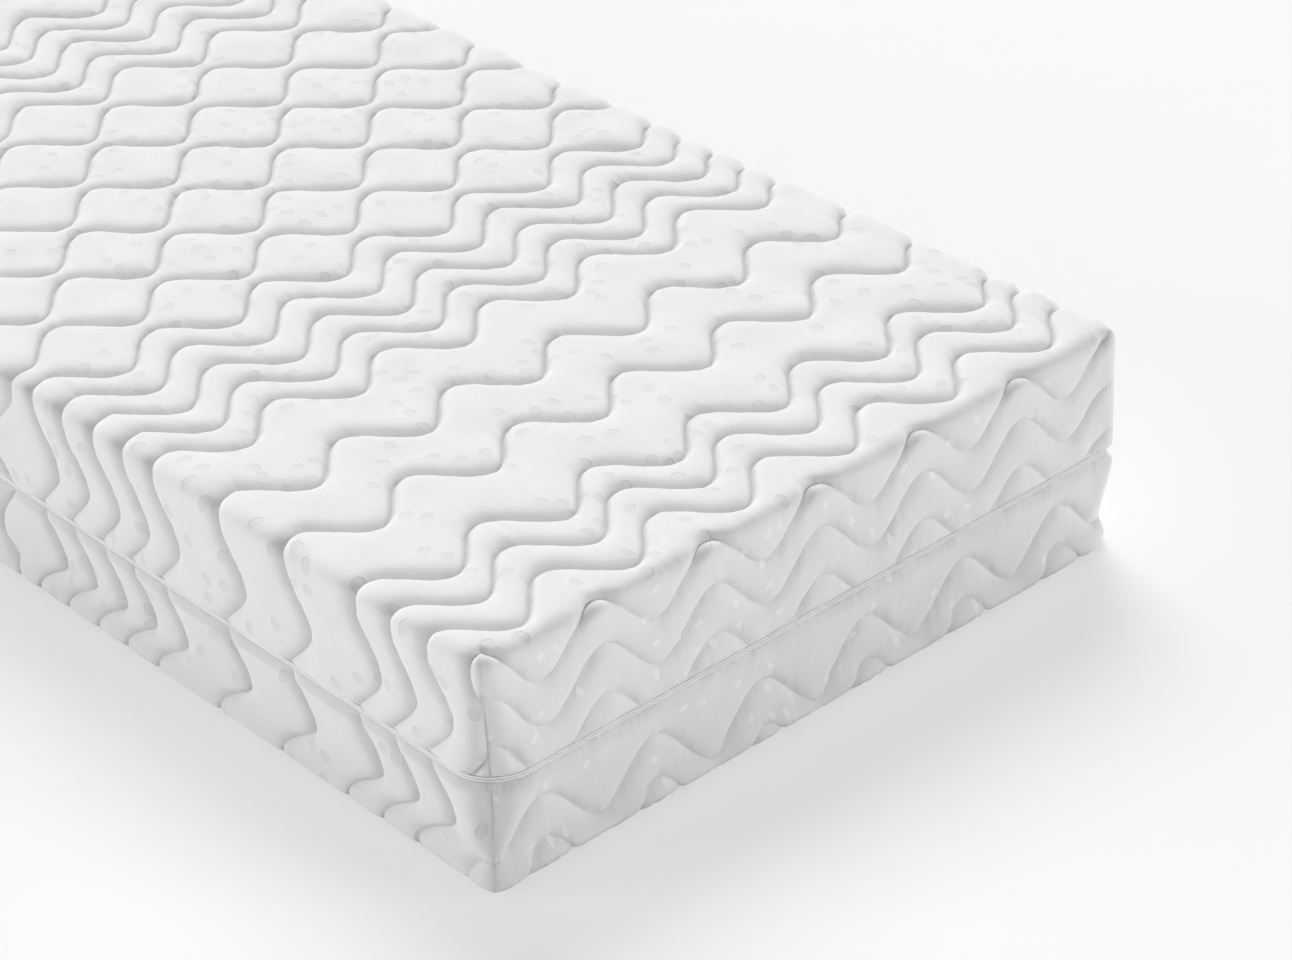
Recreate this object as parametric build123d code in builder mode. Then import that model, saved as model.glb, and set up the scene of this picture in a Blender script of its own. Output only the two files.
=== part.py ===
# Memory foam mattress in a two-piece quilted cover that zips apart all round.
# X runs across the width, Y along the length with the foot at -Y, Z is up.
# The origin is the middle of the underside. Millimetres.
import math
import os

from build123d import *

os.makedirs("parts", exist_ok=True)

# Mattress, measured over the crowns of the quilting
mattress_width = 900.0
mattress_length = 2000.0
mattress_height = 272.0
edge_radius = 32.0  # rounding of the top and bottom edges
zip_height = 118.0  # middle of the zip above the floor

# Quilting: sewn lines that wave across the width and fold down over the edges
wave_repeat = 147.0
wave_swing = 29.0  # from the middle of a wave to its crest
close_pitch = 56.0  # lines side by side in the close bands
wide_pitch = 111.0  # lines of the wide bands
lattice_pitch = 81.0  # lines of the middle, where every other line is turned over
lattice_gaps = 7
close_gaps = 4
wide_gaps = 3
end_gaps = 7  # close lines from the last wide band on, over the end and down
fold_line = 1  # the close line where the panel starts to fold over the end
sections_per_wave = 8
lower_shift_x = -22.0  # the lower panel was sewn in a little to one side
lower_shift_y = 17.0

# Layers of a quilted cover half, from the stitch line inwards
quilt_puff = 9.0  # rise of a wide band above its stitch lines
neck_pinch = 12.0  # narrow bands rise less
end_rise = 0.88  # share of the rise on the end panels, which are drawn tight over the edge
seam_pinch = 0.3  # share of the rise that is left at a hem or a corner seam
seam_fade = 34.0  # way from a seam to the full rise
ticking_thickness = 1.5
layer_clearance = 0.3
wadding_thickness = 2.6
backing_thickness = 0.8
shoulder = 9.0  # rounded shoulder of a band of the underside, which lies pressed flat

# Foam core
core_clearance = 0.3
core_corner_radius = 45.0
memory_foam_thickness = 60.0
transition_foam_thickness = 40.0

# Zip
hem_gap = 4.2  # from the middle of the zip to the hem of a cover half
chain_gap = 0.5  # from the middle of the zip to a tape or coil
tape_height = 13.5
tape_thickness = 1.0
tape_margin = 0.5  # between tape and wadding
coil_height = 2.1
coil_thickness = 2.2
backing_hem = 6.0  # from the middle of the zip to the hem of the backing
slider_clearance = 0.3
slider_length = 12.0
slider_half_height = 3.7
slider_plate = 1.5
slider_back_plate = 1.2
slider_web = 0.5
slider_from_head = 88.0  # parked slider to the head end of the mattress
stop_length = 4.0
stop_proud = 1.4
bail_length = 8.0
bail_height = 3.6
bail_width = 2.4
bail_strap = 1.0
pull_pin_diameter = 1.4
pull_arm_width = 1.2
pull_arm_clearance = 0.4
pull_thickness = 1.2
pull_length = 26.0

half_width = mattress_width / 2
half_length = mattress_length / 2


def puff_of(width):
    return quilt_puff * width / (width + neck_pinch)


stitch_depth = puff_of(lattice_pitch + 2 * wave_swing)
stitch_radius = edge_radius - stitch_depth
edge_run = edge_radius * math.pi / 2
wadding_depth = stitch_depth + ticking_thickness + layer_clearance
backing_depth = wadding_depth + wadding_thickness + layer_clearance
core_depth = backing_depth + backing_thickness + core_clearance
margin = 60.0  # how far a panel is drawn past the corner before it is mitred


def quilt_lines(shift_y):
    """Middle of each quilting line along the unfolded panel, with the side its wave is turned to."""
    foot = []
    place = -lattice_gaps * lattice_pitch / 2
    side = 1
    middle = [(place + i * lattice_pitch, side if i % 2 == 0 else -side) for i in range(lattice_gaps + 1)]
    for pitch, count in ((close_pitch, close_gaps), (wide_pitch, wide_gaps), (close_pitch, end_gaps)):
        for _ in range(count):
            place -= pitch
            foot.append((place, side))
    head = [(-y, -turn) for y, turn in foot]
    return [(y + shift_y, turn) for y, turn in reversed(foot)] + [
        (y + shift_y, turn) for y, turn in middle
    ] + [(y + shift_y, turn) for y, turn in head]


def line_at(line, across, shift_x):
    return line[0] + line[1] * wave_swing * math.cos(2 * math.pi * (across - shift_x) / wave_repeat)


def fade(distance):
    t = min(max(distance / seam_fade, 0.0), 1.0)
    return seam_pinch + (1 - seam_pinch) * t * t * (3 - 2 * t)


def rise(start, end, *seams):
    height = puff_of(end - start)
    for distance in seams:
        height *= fade(distance)
    return height


def end_point(run, height, crown, up):
    """Place over the face, the rounded end edge and the end face, at a height above the stitch level."""
    flat = half_length - edge_radius
    side = 1 if run > 0 else -1
    past = abs(run) - flat
    if past <= 0:
        return (run, crown - up * (stitch_depth - height))
    if past <= edge_run:
        turn = past / edge_radius
        radius = stitch_radius + height
        return (side * (flat + radius * math.sin(turn)), crown - up * (edge_radius - radius * math.cos(turn)))
    return (side * (half_length - stitch_depth + height), crown - up * (edge_radius + past - edge_run))


def side_plane(past, side, crown, up):
    """Plane along the mattress that stands on the stitch level, past the start of the rounded long edge."""
    turn = min(past / edge_radius, math.pi / 2)
    outward = Vector(side * math.sin(turn), 0, up * math.cos(turn))
    centre = Vector(side * (half_width - edge_radius), 0, crown - up * edge_radius)
    foot = centre + outward * stitch_radius - Vector(0, 0, up * max(past - edge_run, 0.0))
    along = Vector(0, 1, 0)
    return Plane(origin=foot, x_dir=along, z_dir=along.cross(outward))


def mitre(side):
    """Outline in plan of a long side and its rounded edge, mitred at both corners."""
    inner_x = half_width - edge_radius
    inner_y = half_length - edge_radius
    reach = edge_radius + margin
    return [
        (side * inner_x, -inner_y),
        (side * inner_x, inner_y),
        (side * (inner_x + reach), inner_y + reach),
        (side * (inner_x + reach), -inner_y - reach),
    ]


def past_mitre(side, end):
    """Outline in plan of what lies past the mitre at one end of a long side."""
    inner_x = half_width - edge_radius
    inner_y = half_length - edge_radius
    reach = edge_radius + margin
    far = inner_y + 6 * margin
    return [
        (side * (inner_x - margin), end * (inner_y - margin)),
        (side * (inner_x + reach), end * (inner_y + reach)),
        (side * (inner_x + reach), end * far),
        (side * (inner_x - margin), end * far),
    ]


def stations_across(extra):
    """Places of the sections across the width, evenly spaced, with some past the rounded long edges."""
    inner = half_width - edge_radius
    count = math.ceil(inner * sections_per_wave / wave_repeat)
    return [inner * i / count for i in range(-count - extra, count + extra + 1)]


def face_panel(crown, up, shift, pressed):
    """Quilted panel of a large face, from fold line to fold line; the lower one is pressed flat."""
    lines = quilt_lines(shift[1])[end_gaps - fold_line : fold_line - end_gaps]
    with BuildPart() as panel:
        for across in stations_across(0):
            runs = [line_at(line, across, shift[0]) for line in lines]
            with BuildSketch(Plane(origin=(across, 0, 0), x_dir=(0, 1, 0), z_dir=(1, 0, 0))):
                with BuildLine():
                    for start, end in zip(runs, runs[1:]):
                        foot = end_point(start, 0, crown, up)
                        far = end_point(end, 0, crown, up)
                        if pressed:
                            near_flat = end_point(start + shoulder, stitch_depth, crown, up)
                            far_flat = end_point(end - shoulder, stitch_depth, crown, up)
                            near_swell = end_point(start + shoulder * 0.4, stitch_depth * 0.76, crown, up)
                            far_swell = end_point(end - shoulder * 0.4, stitch_depth * 0.76, crown, up)
                            ThreePointArc(foot, near_swell, near_flat)
                            Line(near_flat, far_flat)
                            ThreePointArc(far_flat, far_swell, far)
                        else:
                            ThreePointArc(foot, end_point((start + end) / 2, rise(start, end), crown, up), far)
                    Polyline(
                        end_point(runs[-1], 0, crown, up),
                        end_point(runs[-1], -ticking_thickness, crown, up),
                        end_point(runs[0], -ticking_thickness, crown, up),
                        end_point(runs[0], 0, crown, up),
                    )
                make_face()
        loft(ruled=True)
    return panel.part


def end_panel(way, crown, up, hem, shift):
    """Quilted panel from a fold line over the end edge and down to the hem, mitred at both corners."""
    lines = quilt_lines(shift[1])
    lines = lines[: end_gaps - fold_line + 1] if way < 0 else lines[fold_line - end_gaps - 1 :]
    flat = half_length - edge_radius
    hem_run = flat + edge_run + abs(crown - hem) - edge_radius
    inside = -ticking_thickness
    with BuildPart() as panel:
        for across in stations_across(3):
            runs = sorted(abs(line_at(line, across, shift[0])) for line in lines)
            with BuildSketch(Plane(origin=(across, 0, 0), x_dir=(0, 1, 0), z_dir=(1, 0, 0))):
                with BuildLine():
                    for start, end in zip(runs, runs[1:]):
                        mid = (start + end) / 2
                        corner = half_width - abs(across) if mid > flat else seam_fade
                        crest = end_rise * rise(start, end, hem_run - mid, corner)
                        ThreePointArc(
                            end_point(way * start, 0, crown, up),
                            end_point(way * mid, crest, crown, up),
                            end_point(way * end, 0, crown, up),
                        )
                    Polyline(
                        end_point(way * runs[-1], 0, crown, up),
                        end_point(way * runs[-1], inside, crown, up),
                        end_point(way * (flat + edge_run), inside, crown, up),
                    )
                    ThreePointArc(
                        end_point(way * (flat + edge_run), inside, crown, up),
                        end_point(way * (flat + edge_run / 2), inside, crown, up),
                        end_point(way * flat, inside, crown, up),
                    )
                    Line(end_point(way * flat, inside, crown, up), end_point(way * runs[0], inside, crown, up))
                    Line(end_point(way * runs[0], inside, crown, up), end_point(way * runs[0], 0, crown, up))
                make_face()
        loft(ruled=True)
        for side in (-1, 1):
            with BuildSketch(Plane.XY.offset(-margin)):
                with BuildLine():
                    Polyline(*mitre(side), close=True)
                make_face()
            extrude(amount=mattress_height + 2 * margin, mode=Mode.SUBTRACT)
        with BuildSketch(Plane.XY.offset(hem)):
            Rectangle(mattress_width + 4 * margin, mattress_length + 4 * margin)
        extrude(amount=-up * (mattress_height + margin), mode=Mode.SUBTRACT)
    return panel.part


def long_side(side, crown, up, hem, shift):
    """Quilted panel round one long edge and down to the hem, mitred at both corners."""
    lines = quilt_lines(shift[1])
    hem_past = edge_run + abs(crown - hem) - edge_radius
    inside_radius = stitch_radius - ticking_thickness
    turns = math.ceil(math.pi / 4 / math.acos(1 - 0.95 * layer_clearance / inside_radius))
    drops = math.ceil((hem_past - edge_run) * 12 / wave_repeat)
    stations = [edge_run * i / turns for i in range(turns)]
    stations += [edge_run + (hem_past - edge_run) * i / drops for i in range(drops + 1)]
    with BuildPart() as panel:
        for past in stations:
            across = side * (half_width - edge_radius + past)
            runs = [line_at(line, across, shift[0]) for line in lines]
            with BuildSketch(side_plane(past, side, crown, up)):
                with BuildLine():
                    for start, end in zip(runs, runs[1:]):
                        mid = (start + end) / 2
                        corner = half_length - abs(mid) if abs(mid) > half_length - edge_radius else seam_fade
                        crest = rise(start, end, hem_past - past, corner)
                        ThreePointArc((start, 0), (mid, crest), (end, 0))
                    Polyline(
                        (runs[-1], 0), (runs[-1], -ticking_thickness), (runs[0], -ticking_thickness), (runs[0], 0)
                    )
                make_face()
        loft(ruled=True)
        for end in (-1, 1):
            with BuildSketch(Plane.XY.offset(-margin)):
                with BuildLine():
                    Polyline(*past_mitre(side, end), close=True)
                make_face()
            extrude(amount=mattress_height + 2 * margin, mode=Mode.SUBTRACT)
    return panel.part


def outline(depth, mode=Mode.ADD):
    """Plan of the mattress at a depth inside the crowns, with corners that follow those of the foam core."""
    corner = core_corner_radius + core_depth - depth
    return RectangleRounded(mattress_width - 2 * depth, mattress_length - 2 * depth, corner, mode=mode)


def block(depth, crown, up, end):
    """Plain solid at a depth inside the crowns, from a level to the large face, whose edges are rounded."""
    with BuildPart() as solid:
        with BuildSketch(Plane.XY.offset(end)):
            outline(depth)
        extrude(amount=crown - up * depth - end)
        face = solid.faces().sort_by(Axis.Z)[-1 if up > 0 else 0]
        fillet(face.edges(), edge_radius - depth)
    return solid.part


def ring(outer_depth, inner_depth, low, high):
    """Band round the mattress at the zip, with the corners of the foam core."""
    with BuildPart() as band:
        with BuildSketch(Plane.XY.offset(low)):
            outline(outer_depth)
            outline(inner_depth, Mode.SUBTRACT)
        extrude(amount=high - low)
    return band.part


upper_hem = zip_height + hem_gap
lower_hem = zip_height - hem_gap
tape_reach = chain_gap + tape_height + tape_margin
lower_crown = 0.0
no_shift = (0.0, 0.0)
lower_shift = (lower_shift_x, lower_shift_y)


# Quilted cover halves: the ticking with its puffed bands, the fleece under it and the backing sheet
halves = (
    ("upper", mattress_height, 1, upper_hem, no_shift),
    ("lower", lower_crown, -1, lower_hem, lower_shift),
)
for name, crown, up, hem, shift in halves:
    panels = {
        "face": face_panel(crown, up, shift, up < 0),
        "foot_end": end_panel(-1, crown, up, hem, shift),
        "head_end": end_panel(1, crown, up, hem, shift),
        "left_side": long_side(-1, crown, up, hem, shift),
        "right_side": long_side(1, crown, up, hem, shift),
    }
    for place, panel in panels.items():
        with BuildPart() as ticking:
            add(panel)
        ticking.part.label = name + "_ticking_" + place
        export_step(ticking.part, "parts/" + name + "_ticking_" + place + ".step")

    wadding_hem = zip_height + up * tape_reach
    with BuildPart() as wadding:
        add(block(wadding_depth, crown, up, wadding_hem))
        add(block(wadding_depth + wadding_thickness, crown, up, wadding_hem), mode=Mode.SUBTRACT)
    wadding.part.label = name + "_wadding"
    export_step(wadding.part, "parts/" + name + "_wadding.step")

    with BuildPart() as backing:
        add(block(backing_depth, crown, up, zip_height + up * backing_hem))
        add(block(backing_depth + backing_thickness, crown, up, zip_height + up * backing_hem), mode=Mode.SUBTRACT)
    backing.part.label = name + "_backing"
    export_step(backing.part, "parts/" + name + "_backing.step")

# Foam core, three layers glued face to face
core_top = mattress_height - core_depth
memory_foam_bottom = core_top - memory_foam_thickness
transition_foam_bottom = memory_foam_bottom - transition_foam_thickness
with BuildPart() as memory_foam_layer:
    add(block(core_depth, mattress_height, 1, memory_foam_bottom))
memory_foam_layer.part.label = "memory_foam_layer"
export_step(memory_foam_layer.part, "parts/memory_foam_layer.step")

with BuildPart() as transition_foam_layer:
    with BuildSketch(Plane.XY.offset(transition_foam_bottom)):
        outline(core_depth)
    extrude(amount=transition_foam_thickness)
transition_foam_layer.part.label = "transition_foam_layer"
export_step(transition_foam_layer.part, "parts/transition_foam_layer.step")

with BuildPart() as support_foam_base:
    add(block(core_depth, lower_crown, -1, transition_foam_bottom))
support_foam_base.part.label = "support_foam_base"
export_step(support_foam_base.part, "parts/support_foam_base.step")

# Zip: a tape with a coil on each cover half, and a stop on each where the two ends of the chain meet
tape_depth = stitch_depth + ticking_thickness + layer_clearance
coil_depth = tape_depth - coil_thickness
slider_y = half_length - slider_from_head
stop_y = slider_y + slider_length / 2 + slider_clearance
for name, up in (("upper", 1), ("lower", -1)):
    near = zip_height + up * chain_gap
    with BuildPart() as tape:
        add(ring(tape_depth, tape_depth + tape_thickness, near, near + up * tape_height))
    tape.part.label = name + "_zip_tape"
    export_step(tape.part, "parts/" + name + "_zip_tape.step")

    with BuildPart() as coil:
        add(ring(coil_depth, tape_depth, near, near + up * coil_height))
        with BuildSketch(Plane.XY.offset(near)):
            with Locations((half_width - tape_depth, stop_y + stop_length / 2)):
                Rectangle(4 * coil_thickness, stop_length)
        extrude(amount=up * coil_height, mode=Mode.SUBTRACT)
    coil.part.label = name + "_zip_coil"
    export_step(coil.part, "parts/" + name + "_zip_coil.step")

    with BuildPart() as stop:
        with BuildSketch(Plane.XY.offset(near)):
            with Locations((half_width - tape_depth, stop_y)):
                Rectangle(coil_thickness + stop_proud, stop_length, align=(Align.MIN, Align.MIN))
        extrude(amount=up * coil_height)
    stop.part.label = name + "_zip_stop"
    export_step(stop.part, "parts/" + name + "_zip_stop.step")


def zip_plane(depth):
    """Upright plane at a depth inside the long side at +X, centred on the parked slider."""
    return Plane(origin=(half_width - depth, slider_y, zip_height), x_dir=(0, 1, 0), z_dir=(1, 0, 0))


# Slider: front and back plate on a thin web between the coils, a lip under the lower coil and a bail
plate_inside = coil_depth - slider_clearance
plate_outside = plate_inside - slider_plate
back_outside = tape_depth + tape_thickness + slider_clearance
back_inside = back_outside + slider_back_plate
with BuildPart() as zip_slider:
    with BuildSketch(zip_plane(plate_inside)):
        RectangleRounded(slider_length, 2 * slider_half_height, slider_half_height / 2)
    extrude(amount=slider_plate)
    with BuildSketch(zip_plane(back_inside)):
        RectangleRounded(slider_length, 2 * slider_half_height, slider_half_height / 2)
    extrude(amount=slider_back_plate)
    with BuildSketch(zip_plane(back_outside)):
        Rectangle(slider_length * 0.6, slider_web)
    extrude(amount=back_outside - plate_inside)
    with BuildSketch(zip_plane(tape_depth - slider_clearance)):
        with Locations((0, -slider_half_height)):
            Rectangle(
                slider_length * 0.6,
                slider_half_height - chain_gap - coil_height - slider_clearance,
                align=(Align.CENTER, Align.MIN),
            )
    extrude(amount=tape_depth - slider_clearance - plate_inside)
    with BuildSketch(zip_plane(plate_outside)):
        Rectangle(bail_length, bail_width)
    extrude(amount=bail_height)
    with BuildSketch(zip_plane(plate_outside)):
        Rectangle(bail_length - 2 * bail_strap, bail_width)
    extrude(amount=bail_height - bail_strap, mode=Mode.SUBTRACT)
zip_slider.part.label = "zip_slider"
export_step(zip_slider.part, "parts/zip_slider.step")

# Pull tab: a flat tab whose eye is threaded on the bail, lying along the zip
pin_out = (bail_height - bail_strap) / 2
pull_half = bail_width / 2 + pull_arm_clearance + pull_arm_width
eye_reach = bail_length / 2 + 1.6
with BuildPart() as zip_pull:
    with BuildSketch(zip_plane(plate_outside - pin_out + pull_thickness / 2)):
        with Locations((pull_pin_diameter / 2, 0)):
            RectangleRounded(pull_length, 2 * pull_half, pull_pin_diameter / 3, align=(Align.MAX, Align.CENTER))
        with Locations((-pull_pin_diameter / 2, 0)):
            Rectangle(
                eye_reach - pull_pin_diameter / 2,
                bail_width + 2 * pull_arm_clearance,
                align=(Align.MAX, Align.CENTER),
                mode=Mode.SUBTRACT,
            )
    extrude(amount=pull_thickness)
zip_pull.part.label = "zip_pull"
export_step(zip_pull.part, "parts/zip_pull.step")
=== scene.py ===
import bisect
import math
from collections import namedtuple

import bmesh
import bpy
import numpy as np
from mathutils import Matrix, Vector


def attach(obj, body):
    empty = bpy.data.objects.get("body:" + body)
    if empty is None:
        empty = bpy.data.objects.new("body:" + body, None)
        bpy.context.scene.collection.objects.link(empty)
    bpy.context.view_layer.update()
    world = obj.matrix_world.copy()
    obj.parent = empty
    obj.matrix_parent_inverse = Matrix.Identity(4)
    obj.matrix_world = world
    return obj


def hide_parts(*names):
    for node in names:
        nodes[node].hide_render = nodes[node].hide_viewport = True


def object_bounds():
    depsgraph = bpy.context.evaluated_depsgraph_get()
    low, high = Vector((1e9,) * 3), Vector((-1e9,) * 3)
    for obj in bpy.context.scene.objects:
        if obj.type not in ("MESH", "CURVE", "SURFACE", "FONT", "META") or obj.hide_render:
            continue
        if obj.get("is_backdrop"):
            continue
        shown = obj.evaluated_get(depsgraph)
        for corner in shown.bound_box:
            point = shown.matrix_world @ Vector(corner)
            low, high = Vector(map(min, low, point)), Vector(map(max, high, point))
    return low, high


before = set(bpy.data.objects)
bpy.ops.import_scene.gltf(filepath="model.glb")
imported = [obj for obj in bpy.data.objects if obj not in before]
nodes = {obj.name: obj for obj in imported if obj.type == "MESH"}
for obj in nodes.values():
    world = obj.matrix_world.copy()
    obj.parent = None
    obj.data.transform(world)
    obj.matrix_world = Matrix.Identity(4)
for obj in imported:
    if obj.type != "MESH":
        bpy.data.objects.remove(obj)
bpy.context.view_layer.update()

# Sizes in metres
WIDTH, LENGTH, HEIGHT = 0.900, 2.000, 0.272
ZIP = 0.118  # middle of the zip above the floor
LOFT = 0.0096  # how far the sewn lines lie below the crowns of the quilting
PUFF = 0.0122  # rise of a very wide band
REPEAT, SWING = 0.147, 0.028  # waves of the sewn lines
LATTICE = 0.0816  # spacing of the lines in the middle, where every other line is turned over
LATTICE_LINES, LATTICE_END = 8, 0.2855  # number of those lines, and how far from the middle they end
CORE, CORE_CORNER = 0.014085, 0.045  # depth of the foam core inside the crowns, and its upright corners
RIGHT_CORNER = 0.002  # the same for the zip on the right, where the photo shows the corners pulled square
HEM_CORNERS = (0.050, 0.007)  # upright corners of the covers at the zip, left and right
LINING_EDGE = 0.032  # rounding of the face's edges over the linings, measured at the crowns
FLEECE_DEPTH, FLEECE_WALL, FLEECE_HEM = 0.01012, 0.0025, 0.0146  # a hem or reach counts from the zip's middle
BACKING_DEPTH, BACKING_WALL, BACKING_HEM = 0.01302, 0.0006, 0.0061
TAPE_DEPTH, TAPE_WALL, TAPE_REACH = 0.010085, 0.0009, (0.0005, 0.0140)
COIL_DEPTH, COIL_WALL, COIL_REACH = 0.0090, 0.0021, (0.0003, 0.0028)
COIL_PITCH, COIL_CHAMFER = 0.0022, 0.0004
MEMORY_FOAM, SOFT_FOAM = 0.060, 0.100  # from the core's top to the bottom of its first and second layer
FOAM_EDGE, FOAM_CUT = 0.0179, 0.001  # rounded outer edges, and the sharper ones between two layers
FOAM_PLAY = 0.0001  # room round the foam

# Meshes
COVER_COLUMNS, LINING_COLUMNS = 361, 161
WIDE_BAND, WIDE_STEPS, NARROW_STEPS = 0.07, 20, 12  # rows of points across a band between two sewn lines
DOUBLE, SLIVER = 3e-5, 1e-5  # points this close become one, and edges this short go
SAME_PLACE = 2e-4  # points this close on the two sides of a seam are sewn together
ON_LEVEL, ON_HEM = 1e-5, 2e-5  # how exactly an edge lies at its level
CORNER_ZONE = 0.04  # the corner seams lie within this of the corners
HEM_TURN = 0.0005  # how far the hem is turned in
CORNER_STEPS, PATH_STEPS, EDGE_STEPS, CUT_STEPS = 16, 24, 7, 2  # steps of the roundings
SMOOTH, COIL_SMOOTH = math.radians(40), math.radians(50)  # edges less sharp than this look smooth


def ease(x):
    """0 below 0, 1 above 1, smooth between."""
    x = np.clip(x, 0.0, 1.0)
    return x * x * (3 - 2 * x)


def bell(x, middle, spread):
    """1 in the middle, falling off on both sides."""
    return np.exp(-(((x - middle) / spread) ** 2))


def corners_at(depth):
    """Radii of the left and right upright corners of a layer that follows the core."""
    return (CORE_CORNER + CORE - depth,) * 2


def zip_corners_at(depth):
    """The same for the zip, which is pulled square on the right."""
    return CORE_CORNER + CORE - depth, RIGHT_CORNER + CORE - depth


class Layer:
    """One layer of a cover half: its depth inside the crowns, its roundings, and how far it comes down.

    up is 1 for the upper half and -1 for the lower one. corners holds the radii of the left and right upright
    corners next to the face. edge is the radius of the face's edge, which is round where square is 2 and
    squarer where it is more.
    """

    CORNER_KEPT = 0.02  # how far down the side the corners keep their radii

    def __init__(self, crown, up, hem, depth, edge, corners, corners_at_hem, square=2):
        self.crown, self.up, self.depth, self.square = crown, up, depth, square
        self.edge, self.corners, self.corners_at_hem = edge, corners, corners_at_hem
        self.half_w, self.half_l = WIDTH / 2 - depth, LENGTH / 2 - depth
        self.skirt = abs(crown - hem) - depth
        self.half_u, self.half_v = self.half_w + self.skirt, self.half_l + self.skirt

    def radius_at(self, u, drop):
        """Radius of the upright corner on the side of u, at a way down from the face."""
        at_face, at_hem = (
            np.where(u > 0, right, left) for left, right in (self.corners, self.corners_at_hem)
        )
        way_down = (drop - self.CORNER_KEPT) / (self.skirt - self.CORNER_KEPT)
        return at_face + (at_hem - at_face) * ease(way_down)

    def place(self, u, v, out):
        """Folds the panel's places u, v over the edges, raised by out.

        Gives the points, their way down the side, which of them are cut out, and how much they face the way
        that the panel's middle does.
        """
        a, b = np.abs(u), np.abs(v)
        past_w, past_l = np.maximum(a - self.half_w, 0), np.maximum(b - self.half_l, 0)
        cut_out = (past_w > 0) & (past_l > 0)
        drop = np.maximum(past_w, past_l)
        x, y = np.minimum(a, self.half_w), np.minimum(b, self.half_l)
        radius = self.radius_at(u, drop)
        dx, dy = x - (self.half_w - radius), y - (self.half_l - radius)
        in_corner = (dx > 0) & (dy > 0)
        reach = np.maximum(dx, dy)
        length = np.where(in_corner, np.hypot(dx, dy), 1)
        nx = np.where(in_corner, dx / length, np.where(dx > dy, 1.0, 0.0))
        ny = np.where(in_corner, dy / length, np.where(dx > dy, 0.0, 1.0))
        inside = np.minimum(self.half_w - x, self.half_l - y)
        x = np.where(in_corner, self.half_w - radius + reach * nx, x)
        y = np.where(in_corner, self.half_l - radius + reach * ny, y)
        way = np.where(drop > 0, drop, -inside)
        turn = np.clip((way + self.edge) / (2 * self.edge), 0, 1) * math.pi / 2
        tuck = self.edge * (1 - np.sin(turn))
        move = np.where(drop > 0, -tuck, np.where(way <= -self.edge, 0, inside - tuck))
        fall = np.where(way > self.edge, way, self.edge * (1 - np.cos(turn)))
        fuller = (np.sin(turn) ** self.square + np.cos(turn) ** self.square) ** (-1 / self.square)
        out = (self.edge + out) * fuller - self.edge
        px = np.sign(u) * (x + nx * (move + np.sin(turn) * out))
        py = np.sign(v) * (y + ny * (move + np.sin(turn) * out))
        pz = self.crown - self.up * (self.depth + fall - np.cos(turn) * out)
        return np.stack([px, py, pz], -1), drop, cut_out, np.cos(turn)

    def distances(self, u, v, drop):
        """Distances from the nearest corner seam and from the face's edge."""
        from_side = self.half_w - np.minimum(np.abs(u), self.half_w)
        from_end = self.half_l - np.minimum(np.abs(v), self.half_l)
        return np.hypot(from_side, from_end), np.where(drop > 0, drop, np.minimum(from_side, from_end))


class Side(namedtuple("Side", "creep start way slip slip_at_foot lean")):
    """How the sewn lines go on down the sides.

    creep is that of their waves there, start how far inside the edge the change begins, and way how long it
    takes. On the left side alone, the lines slip along it, by slip_at_foot more near the foot, and lean
    further down. Both count towards the head.
    """


class Quilting:
    """Sewn lines of a panel: their places along it, and how far their waves have crept to one side.

    foot holds the lines from the lattice to the foot, as distances from the middle of the panel, with the
    creep of each. The head half mirrors it. On the foot end, sag moves the lines towards the zip, apart from
    a stretch near the middle, and ear moves them towards the face at the left corner.
    """

    def __init__(self, middle, foot, side, sag, ear):
        first_creep = foot[0][1]
        lattice = [
            ((i - (LATTICE_LINES - 1) / 2) * LATTICE, 1 if i % 2 == 0 else -1, first_creep)
            for i in range(LATTICE_LINES)
        ]
        to_foot = [(-place, 1, creep) for place, creep in foot]
        to_head = [(place, -1, first_creep) for place, _ in foot]
        self.lines = [(middle + y, turn, creep) for y, turn, creep in to_foot[::-1] + lattice + to_head]
        self.side, self.sag, self.ear = side, sag, ear

    def spacing(self, k):
        return self.lines[k + 1][0] - self.lines[k][0]

    def line(self, k, u, half_w):
        """Where line k runs along the panel, at places u across it, over both long edges."""
        calmer = 0.26  # share of the swing that the sides lose
        foot_end, near_foot = 0.93, 0.72  # how far from the middle these begin
        held, held_over = -0.08, 0.15  # where across the foot end the lines don't sag
        bend, full_way = 1.3, 0.16  # how a leaning line bends, and the way down to its full lean
        y, turn, creep = self.lines[k]
        side = self.side
        past = np.abs(u) - half_w
        on_left, hand = u < 0, np.sign(-u)
        on_side = ease((past + side.start) / side.way)
        swing = SWING * (1 - calmer * ease((past + 0.04) / 0.06))
        drift = creep + (side.creep - creep) * on_side * hand
        slip = side.slip + side.slip_at_foot * ease((-y - near_foot) / 0.1)
        at_foot = ease((-y - foot_end) / 0.03)
        at_left = ease((past + 0.06) / 0.06) * on_left
        y = y - self.sag * (1 - bell(u, held, held_over)) * at_foot + self.ear * at_foot * at_left
        y = y + (slip * on_side + side.lean * (np.maximum(past, 0) / full_way) ** bend) * on_left
        return y + turn * swing * np.cos(2 * math.pi * (u - drift) / REPEAT)

    def band(self, k, u, half_w):
        """The two lines of band k."""
        return self.line(k, u, half_w), self.line(k + 1, u, half_w)


def spaced(start, *runs):
    """Distances from the middle and creeps of lines, from runs of (spacing, creep)."""
    out = []
    for pitch, creep in runs:
        start += pitch
        out.append((start, creep))
    return out


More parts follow.
